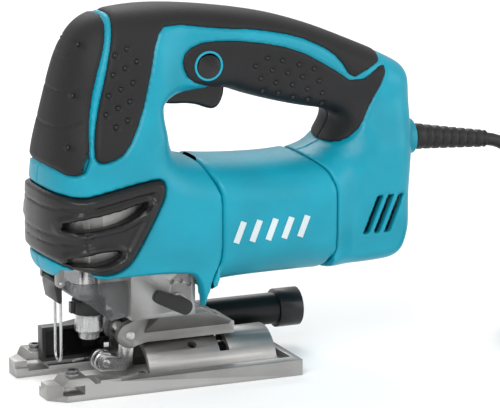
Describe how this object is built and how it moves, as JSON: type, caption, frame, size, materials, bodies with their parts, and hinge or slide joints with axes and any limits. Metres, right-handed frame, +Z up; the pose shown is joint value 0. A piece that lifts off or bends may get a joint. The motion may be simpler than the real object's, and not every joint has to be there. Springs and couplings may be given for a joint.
{
  "type": "jigsaw",
  "caption": "Corded jigsaw with a D-handle, clamshell housing over a motor barrel, roller-backed plunger, tilting sole plate, dust nozzle and mains lead.",
  "frame": {"origin": "middle of the sole plate's length and width, on the sole, which is the surface the tool stands on", "axes": "+X from the blade to the cord, +Y to the tool's right-hand side, +Z up along the plunger"},
  "size_m": [0.3805, 0.124, 0.2079],
  "materials": {
    "shell_plastic": "satin moulded glass-filled nylon, blue-green",
    "bumper_plastic": "satin black moulded plastic",
    "grip_rubber": "fine-grained soft overmould",
    "cast_metal": "sand-blasted die casting",
    "steel": "ground steel",
    "dark_plastic": "smooth black plastic",
    "board": "potted circuit board",
    "laminations": "varnished laminations",
    "copper": "enamelled copper",
    "bronze": "sintered bronze",
    "felt": "oiled felt",
    "clear_plastic": "smoky clear polycarbonate",
    "cord_rubber": "smooth rubber"
  },
  "bodies": {
    "housing": {"housing_left": "shell_plastic", "housing_right": "shell_plastic", "motor_housing": "shell_plastic", "front_bumper": "bumper_plastic", "nose_grip": "grip_rubber", "handle_grip": "grip_rubber", "palm_grip_left": "grip_rubber", "palm_grip_right": "grip_rubber", "gear_case": "cast_metal", "gear_case_cover": "cast_metal", "case_screws": "steel", "housing_screws": "steel", "shoe_bracket": "cast_metal", "retainer_pin": "steel", "guard_wire": "steel", "lever_pin": "steel", "trigger_pin": "steel", "switch_body": "dark_plastic", "control_board": "board", "cord_clamp": "dark_plastic", "stator_core": "laminations", "field_coils": "copper", "brush_holders": "dark_plastic", "carbon_brushes": "laminations", "brush_springs": "steel", "front_bearing": "steel", "rear_bearing": "steel", "gear_axle": "steel", "plunger_bushes": "bronze", "plunger_seal": "felt", "shoe_bolt": "steel", "shoe_clamp_plate": "steel", "cord_gland": "shell_plastic", "cord_guard": "cord_rubber", "cord_run": "cord_rubber", "cord_coil": "cord_rubber", "cord_plug": "cord_rubber"},
    "armature": {"armature_shaft": "steel", "armature_core": "laminations", "armature_windings": "copper", "commutator": "copper", "cooling_fan": "dark_plastic", "pinion": "steel"},
    "crank": {"crank_gear": "steel", "crank_pin": "steel"},
    "plunger": {"plunger_rod": "steel", "plunger_yoke": "steel", "blade_clamp": "steel"},
    "sleeve": {"clamp_sleeve": "dark_plastic"},
    "release_lever": {"release_lever": "bumper_plastic"},
    "dust_cover": {"dust_cover": "clear_plastic"},
    "trigger": {"trigger": "dark_plastic"},
    "lock_button": {"lock_button": "dark_plastic"},
    "orbital_lever": {"orbital_lever": "bumper_plastic"},
    "retainer": {"retainer_arm": "cast_metal", "roller_axle": "steel"},
    "roller": {"roller": "steel"},
    "shoe": {"shoe": "cast_metal", "fence_screws": "steel", "dust_nozzle": "bumper_plastic"}
  },
  "joints": [
    {"name": "armature_spin", "type": "hinge", "parent": "housing", "child": "armature", "pos_m": [0, 0, 0.087], "axis": [1, 0, 0], "continuous": true},
    {"name": "crank_spin", "type": "hinge", "parent": "housing", "child": "crank", "pos_m": [0, 0, 0.115], "axis": [1, 0, 0], "continuous": true},
    {"name": "plunger_stroke", "type": "slide", "parent": "housing", "child": "plunger", "axis": [0, 0, 1], "range_m": [-0.005, 0.021]},
    {"name": "sleeve_twist", "type": "hinge", "parent": "plunger", "child": "sleeve", "pos_m": [-0.038, 0, 0.04], "axis": [0, 0, 1], "range_deg": [0, 60], "stiffness_Nm_per_rad": 0.05},
    {"name": "release_lever_swing", "type": "hinge", "parent": "housing", "child": "release_lever", "pos_m": [-0.059, 0, 0.0595], "axis": [0, 1, 0], "range_deg": [0, 55]},
    {"name": "dust_cover_lift", "type": "slide", "parent": "housing", "child": "dust_cover", "axis": [0, 0, 1], "range_m": [0, 0.0095]},
    {"name": "trigger_squeeze", "type": "hinge", "parent": "housing", "child": "trigger", "pos_m": [0.006, 0, 0.163], "axis": [0, -1, 0], "range_deg": [0, 8], "stiffness_Nm_per_rad": 0.8},
    {"name": "lock_button_press", "type": "slide", "parent": "housing", "child": "lock_button", "axis": [0, 1, 0], "range_m": [0, 0.003], "stiffness_N_per_m": 300},
    {"name": "orbital_lever_turn", "type": "hinge", "parent": "housing", "child": "orbital_lever", "pos_m": [0.0035, -0.03, 0.046], "axis": [0, 1, 0], "range_deg": [0, 105]},
    {"name": "retainer_swing", "type": "hinge", "parent": "housing", "child": "retainer", "pos_m": [-0.019, 0, 0.026], "axis": [0, 1, 0], "range_deg": [0, 5], "stiffness_Nm_per_rad": 0.6},
    {"name": "roller_spin", "type": "hinge", "parent": "retainer", "child": "roller", "pos_m": [-0.0306, 0, 0.0102], "axis": [0, 1, 0], "continuous": true},
    {"name": "shoe_tilt", "type": "hinge", "parent": "housing", "child": "shoe", "pos_m": [0, 0, 0], "axis": [1, 0, 0], "range_deg": [-45, 0]}
  ],
  "couplings": [
    {"joint": "crank_spin", "follows": "armature_spin", "ratio": -0.23529}
  ]
}
